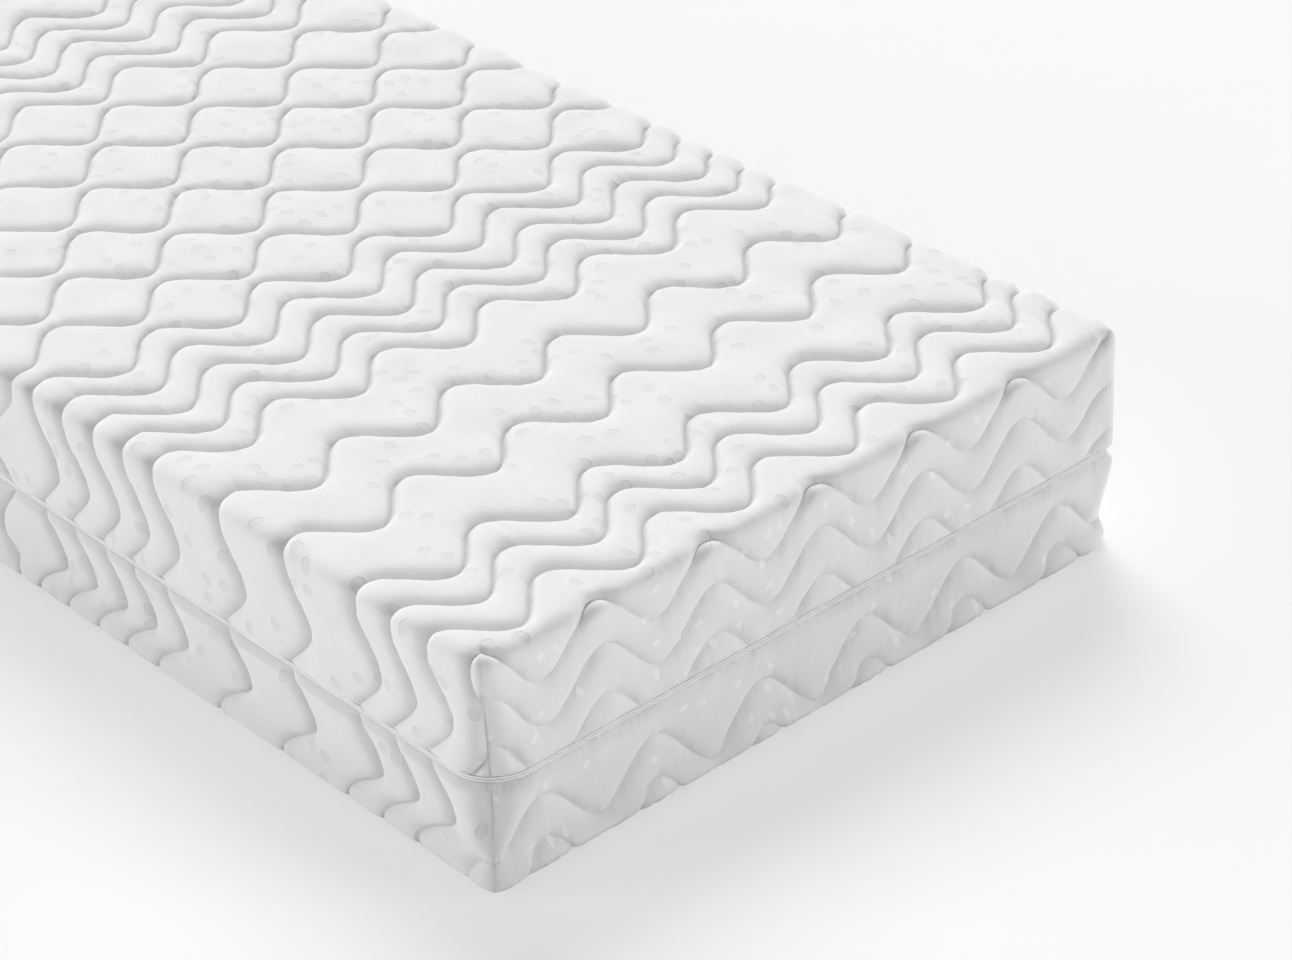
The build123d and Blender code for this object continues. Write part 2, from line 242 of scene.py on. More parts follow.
UPPER = Quilting(
    middle=0.0145,
    foot=spaced(
        LATTICE_END, (0.055, 0.0150), (0.056, 0.0140), (0.0535, 0.0135), (0.0525, 0.0135), (0.113, 0.0150),
        (0.1075, 0.0120), (0.1195, 0.0090), (0.0535, -0.0010), (0.0585, -0.0050), (0.072, 0.0),
        (0.053, 0.0035), (0.058, 0.0040), (0.058, 0.0040), (0.058, 0.0040),
    ),
    side=Side(creep=-0.0128, start=0.03, way=0.06, slip=-0.006, slip_at_foot=0.009, lean=0.022),
    sag=0.0,
    ear=0.012,
)
LOWER = Quilting(
    middle=0.0365,
    foot=spaced(
        LATTICE_END, (0.055, 0.0), (0.056, 0.0), (0.053, 0.0), (0.0565, 0.0), (0.109, 0.0), (0.1075, 0.0),
        (0.1075, 0.0), (0.056, 0.0), (0.056, -0.0060), (0.069, -0.0105), (0.051, -0.0105), (0.112, -0.0105),
        (0.057, -0.0105), (0.057, -0.0105),
    ),
    side=Side(creep=0.0232, start=0.0, way=0.05, slip=-0.0105, slip_at_foot=0.0, lean=0.0),
    sag=0.010,
    ear=0.0,
)


def tucks(rng, count, spread):
    """Small uneven gathers along a sewn line."""
    reach = np.arange(-4 * spread, 4 * spread + 1)
    smooth = np.exp(-((reach / spread) ** 2) / 2)
    values = np.convolve(rng.normal(size=count + reach.size - 1), smooth, "valid")
    return values / values.std()


def unevenness(rng, u, v, wavelength):
    """Slow uneven swelling of hand-laid filling."""
    waves = 22
    total = np.zeros_like(u)
    for _ in range(waves):
        angle, phase = rng.uniform(0, 2 * math.pi, 2)
        k = 2 * math.pi / (wavelength * rng.uniform(0.7, 1.6))
        total += np.cos(k * (u * math.cos(angle) + v * math.sin(angle)) + phase)
    return total / math.sqrt(waves / 2)


def surface(name, points, faces, panel, marks):
    """Piece with the panel's places as its UV map, and with marks on its points."""
    mesh = bpy.data.meshes.new(name)
    mesh.from_pydata(points.reshape(-1, 3).tolist(), [], faces.tolist())
    corner = np.empty(len(mesh.loops), dtype=np.int32)
    mesh.loops.foreach_get("vertex_index", corner)
    mesh.uv_layers.new(name="panel").data.foreach_set("uv", panel.astype(np.float32)[corner].ravel())
    for mark, values in marks.items():
        attribute = mesh.attributes.new(mark, "FLOAT", "POINT")
        attribute.data.foreach_set("value", values.astype(np.float32).ravel())
    mesh.update()
    obj = bpy.data.objects.new(name, mesh)
    bpy.context.scene.collection.objects.link(obj)
    return obj


def grid_faces(cut_off, up):
    """Faces between neighbouring points, without those that are cut off."""
    index = np.arange(cut_off.size).reshape(cut_off.shape)
    quads = np.stack([index[:-1, :-1], index[:-1, 1:], index[1:, 1:], index[1:, :-1]], -1).reshape(-1, 4)
    quads = quads[~cut_off.ravel()[quads].all(1)]
    return quads if up > 0 else quads[:, ::-1]


def sew_corner(work, layer, flanks):
    """Makes one seam of two open edges: each takes the other's points, and equal points become one."""

    def way(point):
        # The rise sets the order, and the way outwards sets it where the seam lies nearly flat
        return 0.25 * (abs(point.co.x) + abs(point.co.y)) - layer.up * point.co.z

    chains = [sorted(flank, key=way) for flank in flanks]
    met = {}
    for own, other in ((0, 1), (1, 0)):
        for point in list(chains[own]):
            if point in chains[other] or point in met or point in met.values():
                continue
            chain = chains[other]
            i = bisect.bisect([way(p) for p in chain], way(point))
            close = min(chain[max(i - 1, 0) : i + 1], key=lambda p: (p.co - point.co).length)
            if (close.co - point.co).length < SAME_PLACE or i in (0, len(chain)):
                met[point] = close
                continue
            before, after = chain[i - 1], chain[i]
            share = (way(point) - way(before)) / (way(after) - way(before))
            edge = work.edges.get((before, after))
            if edge is None:
                continue
            made = bmesh.utils.edge_split(edge, before, share)[1]
            made.co = point.co
            chain.insert(i, made)
            met[made] = point
    for point in met:
        while met[point] in met:
            met[point] = met[met[point]]
    bmesh.ops.weld_verts(work, targetmap=met)


def turn_in(work, layer, edges):
    """Turns a hem in towards the zip."""
    grown = bmesh.ops.extrude_edge_only(work, edges=edges)["geom"]
    for point in (p for p in grown if isinstance(p, bmesh.types.BMVert)):
        radius = layer.corners_at_hem[point.co.x > 0]
        dx = max(abs(point.co.x) - layer.half_w + radius, 0)
        dy = max(abs(point.co.y) - layer.half_l + radius, 0)
        length = math.hypot(dx, dy) or 1
        point.co.x -= math.copysign(HEM_TURN * dx / length, point.co.x)
        point.co.y -= math.copysign(HEM_TURN * dy / length, point.co.y)


def sew_up(obj, layer, hem=None):
    """Joins the grid's double points, closes the cut corners, and turns in a hem whose level is given."""

    def on_hem(edge):
        return hem is not None and all(abs(p.co.z - hem) < ON_HEM for p in edge.verts)

    def in_corner(point, hand, end):
        past_w, past_l = point.co.x * hand - layer.half_w, point.co.y * end - layer.half_l
        return past_w > -CORNER_ZONE and past_l > -CORNER_ZONE

    work = bmesh.new()
    work.from_mesh(obj.data)
    bmesh.ops.remove_doubles(work, verts=work.verts, dist=DOUBLE)
    bmesh.ops.dissolve_degenerate(work, edges=work.edges, dist=SLIVER)
    bmesh.ops.delete(work, geom=[p for p in work.verts if not p.link_faces], context="VERTS")
    for hand, end in ((-1, -1), (-1, 1), (1, -1), (1, 1)):
        flanks = (set(), set())
        for edge in work.edges:
            if not edge.is_boundary or on_hem(edge):
                continue
            if all(in_corner(point, hand, end) for point in edge.verts):
                middle = edge.link_faces[0].calc_center_median()
                on_end = layer.half_l - abs(middle.y) < layer.half_w - abs(middle.x)
                flanks[on_end].update(edge.verts)
        sew_corner(work, layer, flanks)
    if hem is not None:
        turn_in(work, layer, [edge for edge in work.edges if edge.is_boundary and on_hem(edge)])
    work.to_mesh(obj.data)
    work.free()
    obj.data.shade_smooth()


def quilted_bands(quilting, columns, half_w, gathers):
    """Rows of points from line to line.

    Gives their places along the panel, their distances from the lines on both sides, how hard the gathers
    pull at them, and the way along the nearer line.
    """
    pull_start, pull_end = 0.002, 0.009  # distances from a line between which its gathers show
    rows = []
    for k in range(len(quilting.lines) - 1):
        v0, v1 = quilting.band(k, columns, half_w)
        lean0, lean1 = (np.sqrt(1 + np.gradient(line, columns) ** 2) for line in (v0, v1))
        steps = NARROW_STEPS if quilting.spacing(k) < WIDE_BAND else WIDE_STEPS
        for j in range(0 if k == 0 else 1, steps + 1):
            t = (1 - math.cos(math.pi * j / steps)) / 2
            d0, d1 = t * (v1 - v0) / lean0, (1 - t) * (v1 - v0) / lean1
            run = np.cumsum(lean0 if t < 0.5 else lean1) * (columns[1] - columns[0])
            pull = sum(
                gather * np.exp(-d / pull_end) * (1 - np.exp(-d / pull_start))
                for gather, d in ((gathers[k], d0), (gathers[k + 1], d1))
            )
            rows.append((v0 + (v1 - v0) * t, d0, d1, pull, run))
    return (np.array(part) for part in zip(*rows))


def swelling(d0, d1, filling):
    """Rise of the bands over the sewn lines, from the distances to the lines on both sides."""
    half_risen = 0.013  # width of a band that rises half as far as a very wide one
    steep, tight = 1.15, 2.8  # slope next to a line, and how suddenly it bends into the crown
    width = d0 + d1
    crown = PUFF * width / (width + half_risen) * filling * (0.94 + 0.24 * d0 * d1 / width**2)
    rises = (steep * d0, steep * d1, crown)
    return sum(np.maximum(rise, 1e-6) ** -tight for rise in rises) ** (-1 / tight)


def draw_in_seams(puff, layer, u, drop, to_seam, on_end):
    """Draws the bands in at the four corner seams, with a fine furrow along each seam."""
    full, fuller, right_full = 0.48, 0.36, 0.86  # shares of the loft that are left at a seam
    swell, swell_over = 0.012, 0.024  # where below the face the left seams are fuller
    reach, more_on_end = 0.02, 0.014  # how far from a seam its pull goes
    furrow, furrow_width = 0.0011, 0.003
    left_full = full + fuller * bell(drop, swell, swell_over)
    at_seam = layer.depth * np.where(u > 0, right_full, left_full)
    reach = reach + more_on_end * on_end * ease((drop - 0.03) / 0.03)
    puff = at_seam + (puff - at_seam) * ease(to_seam / reach)
    return puff - furrow * bell(to_seam, 0, furrow_width) * ease((drop - 0.02) / 0.03)


def draw_in_hem(puff, to_hem, gathers):
    """Draws the bands in at the hem, with fine gathers above it."""
    left_over, slope_width = 0.06, 0.007  # share of the rise that is left at the hem, and the slope above it
    depth, start, reach = 0.00045, 0.003, 0.012  # the gathers' size, and where above the hem they show
    puff = puff * (left_over + (1 - left_over) * ease(to_hem / slope_width))
    return puff + depth * gathers * np.exp(-to_hem / reach) * ease(to_hem / start)


def press(puff, layer, drop, facing, to_seam, to_edge):
    """Flattens the face that the mattress lies on, and lets its edge bulge, most of all at the corners."""
    firm = 2.2  # how evenly the pressed face fills out
    edge_width, corner_width, past_edge = 0.018, 0.04, 0.006
    edge_full, corner_more, side_more = 0.62, 0.38, 0.5  # the bulge of the edge, and what is added to it
    flat = layer.depth * np.tanh(firm * np.maximum(puff, 0) / layer.depth)
    puff = puff + (flat - puff) * ease(facing * 1.6)
    bulge = layer.depth * (1 + side_more * ease(drop / past_edge))
    at_corner = ease(1.2 - to_seam / corner_width)
    at_edge = ease(1.3 - to_edge / edge_width) * (edge_full + corner_more * at_corner)
    return puff + (bulge - puff) * at_edge


def quilted_cover(name, layer, hem, quilting, pressed, seed):
    """One half of the cover: a panel quilted in waves, folded over the edges and down to its hem."""
    end_slack, side_slack = 0.36, 0.08  # share of the rise that the ends and the sides lose
    lumps, lump_length = 0.07, 0.09  # how uneven the filling is
    gather_depth, gather_spread, hem_spread = 0.0007, 1.0, 1.3  # spreads are in columns
    rng = np.random.default_rng(seed)
    columns = np.linspace(-layer.half_u, layer.half_u, COVER_COLUMNS)
    gathers = [tucks(rng, columns.size, gather_spread) for _ in quilting.lines]
    v, d0, d1, pull, run = quilted_bands(quilting, columns, layer.half_w, gathers)
    u = np.broadcast_to(columns, v.shape)
    puff = swelling(d0, d1, 1 + lumps * unevenness(rng, u, v, lump_length))
    past_hem = np.abs(v) >= layer.half_v
    v = np.clip(v, -layer.half_v, layer.half_v)
    _, drop, cut_out, facing = layer.place(u, v, np.zeros_like(u))
    to_seam, to_edge = layer.distances(u, v, drop)
    on_end = (np.abs(v) > layer.half_l) & ~cut_out
    puff = puff * (1 - np.where(on_end, end_slack, side_slack) * (1 - facing))
    puff = puff + gather_depth * pull
    puff = draw_in_seams(puff, layer, u, drop, to_seam, on_end)
    puff = draw_in_hem(puff, layer.skirt - drop, tucks(rng, columns.size, hem_spread))
    if pressed:
        puff = press(puff, layer, drop, facing, to_seam, to_edge)
    points = layer.place(u, v, puff)[0]
    points[..., 2] = np.maximum(points[..., 2], 0.0)
    panel = np.stack([u.ravel(), v.ravel()], -1)
    marks = {
        "crease": np.minimum(d0, d1),
        "thread_run": run,
        # On the ends, fading towards the face; the ticking paints the dots' sheen and lessens its painted
        # crease shade by it
        "on_end": on_end * ease((0.75 - facing) / 0.5),
    }
    obj = surface(name, points, grid_faces(cut_out | past_hem, layer.up), panel, marks)
    sew_up(obj, layer, hem)
    return obj


def lining(name, layer, quilting, thickness):
    """Layer sewn in under the quilting: the lines come through as rows of its mesh."""
    beside_line = 0.003  # the nearest row on each side of a line
    columns = np.linspace(-layer.half_u, layer.half_u, LINING_COLUMNS)
    rows = []
    for k in range(len(quilting.lines) - 1):
        v0, v1 = quilting.band(k, columns, layer.half_w)
        near = beside_line / quilting.spacing(k)
        for t in (0, near, 0.5, 1 - near):
            rows.append((v0 + (v1 - v0) * t, np.minimum(t, 1 - t) * (v1 - v0)))
    v, crease = (np.array(part) for part in zip(*rows))
    u = np.broadcast_to(columns, v.shape)
    past_hem = np.abs(v) >= layer.half_v
    v = np.clip(v, -layer.half_v, layer.half_v)
    points, _, cut_out, _ = layer.place(u, v, np.zeros_like(u))
    panel = np.stack([u.ravel(), v.ravel()], -1)
    obj = surface(name, points, grid_faces(cut_out | past_hem, layer.up), panel, {"crease": crease})
    sew_up(obj, layer)
    thicken(obj, thickness)
    return obj


def only(obj):
    """Selects one piece alone."""
    bpy.ops.object.select_all(action="DESELECT")
    obj.select_set(True)
    bpy.context.view_layer.objects.active = obj


def finish(obj):
    """Applies what is still live on a piece."""
    only(obj)
    for modifier in list(obj.modifiers):
        bpy.ops.object.modifier_apply(modifier=modifier.name)


def thicken(obj, thickness):
    """Gives a sheet its wall, inwards."""
    wall = obj.modifiers.new("wall", "SOLIDIFY")
    wall.thickness, wall.offset = thickness, -1
    finish(obj)


def pick(obj, kind, test):
    """Selects, in edit mode, the points, edges or faces that pass a test."""
    work = bmesh.from_edit_mesh(obj.data)
    for part in (work.verts, work.edges, work.faces):
        for item in part:
            item.select_set(False)
    bpy.context.tool_settings.mesh_select_mode = (kind == "verts", kind == "edges", kind == "faces")
    work.select_mode = {{"verts": "VERT", "edges": "EDGE", "faces": "FACE"}[kind]}
    for item in getattr(work, kind):
        if test(item):
            item.select_set(True)
    bmesh.update_edit_mesh(obj.data)


def upright(edge):
    a, b = (p.co for p in edge.verts)
    return abs(a.z - b.z) > 0.9 * (a - b).length


def rim(edge, z):
    """True for an edge at a level."""
    return all(abs(p.co.z - z) < ON_LEVEL for p in edge.verts)


def cuboid(name, size, centre):
    """Starting block of a piece."""
    bpy.ops.object.select_all(action="DESELECT")
    bpy.ops.mesh.primitive_cube_add(size=1, location=centre)
    obj = bpy.context.object
    obj.name = obj.data.name = name
    obj.scale = size
    bpy.ops.object.transform_apply(location=True, rotation=False, scale=True)
    return obj


def slab(name, depth, low, high, corners):
    """Block inside the cover, with round upright corners, still in edit mode."""
    size = (2 * (WIDTH / 2 - depth), 2 * (LENGTH / 2 - depth), high - low)
    obj = cuboid(name, size, (0, 0, (low + high) / 2))
    bpy.ops.object.mode_set(mode="EDIT")
    for hand, corner in zip((-1, 1), corners):
        pick(obj, "edges", lambda e: upright(e) and e.verts[0].co.x * hand > 0)
        bpy.ops.mesh.bevel(offset=corner, segments=CORNER_STEPS, affect="EDGES")
    return obj


def foam(name, low, high, low_edge, high_edge):
    """Block of cut foam, with its edges rounded off."""
    obj = slab(name, CORE + FOAM_PLAY, low, high, (CORE_CORNER,) * 2)
    for level, radius in ((low, low_edge), (high, high_edge)):
        pick(obj, "edges", lambda e: rim(e, level))
        steps = CUT_STEPS if radius == FOAM_CUT else EDGE_STEPS
        bpy.ops.mesh.bevel(offset=radius, segments=steps, affect="EDGES")
    bpy.ops.object.mode_set(mode="OBJECT")
    bpy.ops.object.shade_smooth_by_angle(angle=SMOOTH)
    return obj


def tape(name, low, high):
    """Woven band of the zip, round the whole mattress."""
    obj = slab(name, TAPE_DEPTH, low, high, zip_corners_at(TAPE_DEPTH))
    pick(obj, "faces", lambda f: abs(f.normal.z) > 0.9)
    bpy.ops.mesh.delete(type="FACE")
    bpy.ops.object.mode_set(mode="OBJECT")
    thicken(obj, TAPE_WALL)
    bpy.ops.object.shade_smooth_by_angle(angle=SMOOTH)
    return obj


def coil_path(half_w, half_l, corners):
    """Curve round the mattress that the loops of a coil follow."""
    bpy.ops.object.select_all(action="DESELECT")
    bpy.ops.mesh.primitive_plane_add(size=1, location=(0, 0, 0))
    path = bpy.context.object
    path.scale = (2 * half_w, 2 * half_l, 1)
    bpy.ops.object.transform_apply(location=False, rotation=False, scale=True)
    bpy.ops.object.mode_set(mode="EDIT")
    for hand, corner in zip((-1, 1), corners):
        pick(path, "verts", lambda p: p.co.x * hand > 0)
        bpy.ops.mesh.bevel(offset=corner, segments=PATH_STEPS, affect="VERTICES")
    bpy.ops.mesh.select_all(action="SELECT")
    bpy.ops.mesh.delete(type="ONLY_FACE")
    bpy.ops.object.mode_set(mode="OBJECT")
    bpy.ops.object.convert(target="CURVE")
    path.data.dimensions = "3D"
    path.data.twist_mode = "Z_UP"
    return path


def coil(name, low, high, start):
    """Row of nylon loops along one edge of the zip: one loop, repeated along the outline."""
    half_w, half_l, corners = WIDTH / 2 - COIL_DEPTH, LENGTH / 2 - COIL_DEPTH, zip_corners_at(COIL_DEPTH)
    path = coil_path(half_w, half_l, corners)
    around = 4 * (half_w + half_l) - (4 - math.pi) * sum(corners)
    count = round(around / COIL_PITCH)
    pitch = around / count
    loop = (pitch * 0.97, COIL_WALL, high - low)
    obj = cuboid(name, loop, (pitch * (0.5 + start), 0, (low + high) / 2))
    bpy.ops.object.mode_set(mode="EDIT")
    bpy.ops.mesh.select_all(action="SELECT")
    bpy.ops.mesh.bevel(offset=COIL_CHAMFER, segments=1, affect="EDGES")
    bpy.ops.object.mode_set(mode="OBJECT")
    row = obj.modifiers.new("row", "ARRAY")
    row.count = count
    row.use_relative_offset = False
    row.use_constant_offset = True
    row.constant_offset_displace = (pitch, 0, 0)
    along = obj.modifiers.new("along", "CURVE")
    along.object = path
    finish(obj)
    bpy.data.objects.remove(path)
    only(obj)
    bpy.ops.object.shade_smooth_by_angle(angle=COIL_SMOOTH)
    return obj


# Finishes, with lengths and heights in metres
class Tone:
    """A socket among a material's nodes. Arithmetic on it adds Math nodes."""

    def __init__(self, tree, socket=None):
        self.tree, self.socket = tree, socket

    def node(self, kind, settings, inputs, output=0):
        """New node: its settings first, then the values and links of its sockets."""
        made = self.tree.nodes.new(kind)
        for key, value in settings.items():
            setattr(made, key, value)
        for key, value in inputs.items():
            if isinstance(value, Tone):
                self.tree.links.new(value.socket, made.inputs[key])
            else:
                made.inputs[key].default_value = value
        return Tone(self.tree, made.outputs[output])

    def math(self, operation, *others):
        return self.node("ShaderNodeMath", {"operation": operation}, dict(enumerate((self, *others))))

    def __add__(self, other):
        return self.math("ADD", other)

    def __sub__(self, other):
        return self.math("SUBTRACT", other)

    def __rsub__(self, other):
        return self.node("ShaderNodeMath", {"operation": "SUBTRACT"}, {0: other, 1: self})

    def __mul__(self, other):
        return self.math("MULTIPLY", other)

    def __truediv__(self, other):
        return self.math("DIVIDE", other)

    def __abs__(self):
        return self.math("ABSOLUTE")

    def __lt__(self, other):
        return self.math("LESS_THAN", other)

    __radd__, __rmul__ = __add__, __mul__

    def own_place(self):
        """Object coordinates."""
        return self.node("ShaderNodeTexCoord", {}, {}, "Object")

    def panel_place(self):
        """Places on the flat panel, in metres."""
        return self.node("ShaderNodeUVMap", {"uv_map": "panel"}, {})

    def mark(self, name):
        """Value that the mesh code has left on the points."""
        return self.node("ShaderNodeAttribute", {"attribute_name": name}, {}, "Fac")

    def fade(self, full, none):
        """1 at full and beyond, 0 at none, smooth between."""
        inputs = {"Value": self, "From Min": none, "From Max": full}
        return self.node("ShaderNodeMapRange", {"interpolation_type": "SMOOTHSTEP"}, inputs)

    def falling(self, way):
        """1 at 0, falling off over a way."""
        return (self * (-1 / way)).math("EXPONENT")

    def wave(self, length):
        """Ripples from -1 to 1."""
        return (self * (2 * math.pi / length)).math("SINE")

    def noise(self, scale, detail=2.0, dimensions="3D"):
        inputs = {"Vector": self, "Scale": scale, "Detail": detail}
        return self.node("ShaderNodeTexNoise", {"noise_dimensions": dimensions}, inputs)

    def pores(self, scale):
        """Distances from the middles of cells."""
        return self.node("ShaderNodeTexVoronoi", {}, {"Vector": self, "Scale": scale}, "Distance")

    def split(self, axes=2):
        return [self.node("ShaderNodeSeparateXYZ", {}, {0: self}, axis) for axis in range(axes)]

    def blend(self, first, second):
        """Colour that goes from first to second with this value."""
        inputs = {"Factor": self, 6: first, 7: second}
        return self.node("ShaderNodeMix", {"data_type": "RGBA"}, inputs, 2)

    def of_colour(self, red, green, blue):
        """The colour, from black at 0 to full at 1."""
        return self.blend((0, 0, 0, 1), (red, green, blue, 1))

    def relief(self):
        """Normal of a surface that this value raises, in metres."""
        inputs = {"Strength": 1.0, "Distance": 1.0, "Height": self}
        return self.node("ShaderNodeBump", {}, inputs, "Normal")


def material(name, **constants):
    """New material, with the values that are the same all over it."""
    made = bpy.data.materials.new(name)
    made.use_nodes = True
    shader = made.node_tree.nodes["Principled BSDF"]
    for key, value in constants.items():
        shader.inputs[key.replace("_", " ")].default_value = value
    return made, Tone(made.node_tree), shader


def wire(shader, **links):
    """Links what changes over a surface to its shader."""
    for key, value in links.items():
        value.tree.links.new(value.socket, shader.inputs[key.replace("_", " ")])


def satin_dots(tone, panel, on_end):
    """Oval dots strewn in short bent rows: the dots and the lips round them. They are smaller on the ends,
    where their painted sheen stands for glints.
    """
    cell, dot_length, dot_width = 0.030, 0.0084, 0.0060
    inputs = {0: panel, "Scale": 1 / cell}
    cells = tone.node("ShaderNodeVectorMath", {"operation": "SCALE"}, inputs)
    inputs = {"Vector": cells, "Scale": 1, "Randomness": 0.62}
    spot = tone.node("ShaderNodeTexVoronoi", {"voronoi_dimensions": "2D"}, inputs, "Position")
    from_spot = tone.node("ShaderNodeVectorMath", {"operation": "SUBTRACT"}, {0: cells, 1: spot})
    x, y = from_spot.split()
    turn = spot.noise(0.16, 0.0, "2D") * 9.0
    c, s = turn.math("COSINE"), turn.math("SINE")
    long_way, short_way = (x * c + y * s) / (dot_length / cell), (y * c - x * s) / (dot_width / cell)
    ring = (long_way * long_way + short_way * short_way).math("SQRT") * (1 + on_end * 0.35)
    row = abs(spot.noise(0.27, 0.0, "2D") - 0.5) < 0.072
    from_rim = ring - 1.0
    return ring.fade(0.80, 1.05) * row, (from_rim * from_rim * -40).math("EXPONENT") * row


def knit_ticking():
    """White jersey with satin dots and the thread of the quilting, with painted shade along the sewn lines
    and a painted sheen on the dots.
    """
    loop, course = 0.0015, 0.0013
    stitch, thread_share = 0.0042, 0.76
    made, tone, shader = material("knit_ticking", Sheen_Weight=0.12, Sheen_Roughness=0.5)
    panel = tone.panel_place()
    crease, run, on_end = tone.mark("crease"), tone.mark("thread_run"), tone.mark("on_end")
    across, along = panel.split()
    loops = across.wave(loop)
    courses = (along * (2 * math.pi / course) + loops * 1.3).math("SINE")
    grain, cloud = panel.noise(430, 3.0, "2D"), panel.noise(26, 3.0, "2D")
    dot, lip = satin_dots(tone, panel, on_end)
    # Painted sheen: the dots and their lips are grey where they face up and bright on the ends, by how the
    # light falls on them
    dot_painted_sheen = on_end.blend((0.72, 0.73, 0.75, 1), (0.96, 0.96, 0.97, 1))

    gather = tone.node("ShaderNodeCombineXYZ", {}, {0: run * 120, 1: along * 45}).noise(1.0, 2.0, "2D")
    gather = (gather - 0.5) * crease.falling(0.007) * (1 - crease.falling(0.002))
    in_stitch = (run / stitch).math("FRACT") < thread_share
    thread = crease.fade(0.0003, 0.0007) * in_stitch
    hole = crease.fade(0.0004, 0.0009) * (1 - in_stitch)
    height = loops * 0.00004 + courses * 0.00005 + grain * 0.00022 + cloud * 0.0006
    height = height + gather * 0.0014 - dot * 0.00040 + lip * 0.00014 + thread * 0.0003 - hole * 0.0004
    shade = 0.96 + (cloud - 0.5) * 0.05 + (grain - 0.5) * 0.06 - hole * 0.12
    # Painted shade: the colour darkens within a few millimetres of each sewn line, less on the ends
    shade = shade - crease.falling(0.0038) * (0.12 - on_end * 0.09)
    colour = (dot * 0.62 + lip * 0.15).blend(shade.of_colour(0.868, 0.873, 0.885), dot_painted_sheen)
    wire(shader, Base_Color=colour, Roughness=0.86 - dot * 0.16 - thread * 0.25, Normal=height.relief())
    return made


def nonwoven_backing():
    """Thin white web, bonded in a fine grid of points, with the quilting's stitches coming through."""
    grid = 0.0032
    made, tone, shader = material("nonwoven_backing", Roughness=0.9)
    panel = tone.panel_place()
    across, along = panel.split()
    points = across.wave(grid) * along.wave(grid)
    fibre = panel.noise(420, 4.0, "2D")
    stitch = tone.mark("crease").fade(0.0004, 0.0016)
    height = points * 0.00006 + fibre * 0.0002 - stitch * 0.0007
    shade = 0.93 + (fibre - 0.5) * 0.14 + points * 0.015 - stitch * 0.16
    wire(shader, Base_Color=shade.of_colour(0.86, 0.86, 0.855), Normal=height.relief())
    return made


def fleece_wadding():
    """White fibre fleece, in loose tufts."""
    made, tone, shader = material("fleece_wadding", Roughness=0.95)
    place = tone.own_place()
    fibre, tuft = place.noise(520, 5.0), place.noise(60, 3.0)
    height = fibre * 0.0005 + tuft * 0.0008
    shade = 0.92 + (fibre - 0.5) * 0.25 + (tuft - 0.5) * 0.1
    wire(shader, Base_Color=shade.of_colour(0.88, 0.875, 0.86), Normal=height.relief())
    return made


def cut_foam(name, colour, cell):
    """Open-cell foam: fine pores, a few larger ones, and slow mottling."""
    made, tone, shader = material(name, Roughness=0.92)
    place = tone.own_place()
    pore, large = place.pores(1 / cell), place.pores(0.14 / cell).fade(0.10, 0.17)
    mottle, grain = place.noise(14, 3.0), place.noise(900, 2.0)
    height = pore * (0.22 * cell) + grain * 0.00012 - large * 0.0007
    shade = 0.94 + (mottle - 0.5) * 0.10 + (pore - 0.45) * 0.18 + (grain - 0.5) * 0.08 - large * 0.12
    wire(shader, Base_Color=shade.of_colour(*colour), Normal=height.relief())
    return made


def woven_tape():
    """Zip tape: fine herringbone in off-white."""
    bone_height, rib_width = 0.0030, 0.0012
    made, tone, shader = material("woven_tape", Roughness=0.8)
    place = tone.own_place()
    x, y, z = place.split(3)
    bone = abs((z / bone_height).math("FRACT") - 0.5) * 2
    rib = ((x + y) * (2 * math.pi / rib_width) + bone * 8.0).math("SINE")
    grain = place.noise(700, 2.0)
    height = rib * 0.00005 + grain * 0.0001
    shade = 0.94 + rib * 0.03 + (grain - 0.5) * 0.08
    wire(shader, Base_Color=shade.of_colour(0.85, 0.853, 0.86), Normal=height.relief())
    return made


def nylon_coil():
    """White nylon with a soft gloss."""
    made, tone, shader = material("nylon_coil", IOR=1.53)
    grain = tone.own_place().noise(240, 3.0)
    colour = grain.blend((0.92, 0.92, 0.92, 1), (0.95, 0.95, 0.95, 1))
    wire(shader, Base_Color=colour, Roughness=0.45 + grain * 0.2, Normal=(grain * 0.00005).relief())
    return made


def zinc_metal():
    """Nickelled die-cast zinc, polished on its faces and a little worn."""
    made, tone, shader = material("zinc_metal", Metallic=1.0)
    place = tone.own_place()
    wear, scratch = place.noise(380, 4.0), place.noise(1600, 2.0)
    colour = wear.blend((0.55, 0.545, 0.53, 1), (0.72, 0.715, 0.70, 1))
    height = wear * 0.00008 + scratch * 0.00002
    wire(shader, Base_Color=colour, Roughness=0.20 + wear * 0.22, Normal=height.relief())
    return made


def fit(obj, body, slot, finish_of, *stands_for):
    """Puts a piece on its body, in place of its CAD nodes, with its finish."""
    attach(obj, body)
    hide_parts(*stands_for)
    obj.data.materials.clear()
    obj.data.materials.append(finish_of)


# Cover halves
PANELS = ("face", "foot_end", "head_end", "left_side", "right_side")
Half = namedtuple("Half", "name crown up quilting pressed seed hem_gap edge corners square coil_start")
HALVES = (
    Half(
        name="upper", crown=HEIGHT, up=1, quilting=UPPER, pressed=False, seed=3, hem_gap=0.0029,
        edge=0.022, corners=(0.022, 0.010), square=4, coil_start=0.0,
    ),
    Half(
        name="lower", crown=0.0, up=-1, quilting=LOWER, pressed=True, seed=8, hem_gap=0.0034,
        edge=0.016, corners=(0.004, 0.040), square=8, coil_start=0.5,
    ),
)
ticking, backing_web, fleece = knit_ticking(), nonwoven_backing(), fleece_wadding()
tape_weave, coil_nylon, zinc = woven_tape(), nylon_coil(), zinc_metal()


def lining_layer(half, depth, hem_gap):
    """Layer under the quilting, which follows the core."""
    corners = corners_at(depth)
    hem = ZIP + half.up * hem_gap
    return Layer(half.crown, half.up, hem, depth, LINING_EDGE - depth, corners, corners)


def levels_of(half, reach):
    """Lowest and highest level of a part of the zip, from its distances from the zip's middle."""
    return sorted(ZIP + half.up * distance for distance in reach)


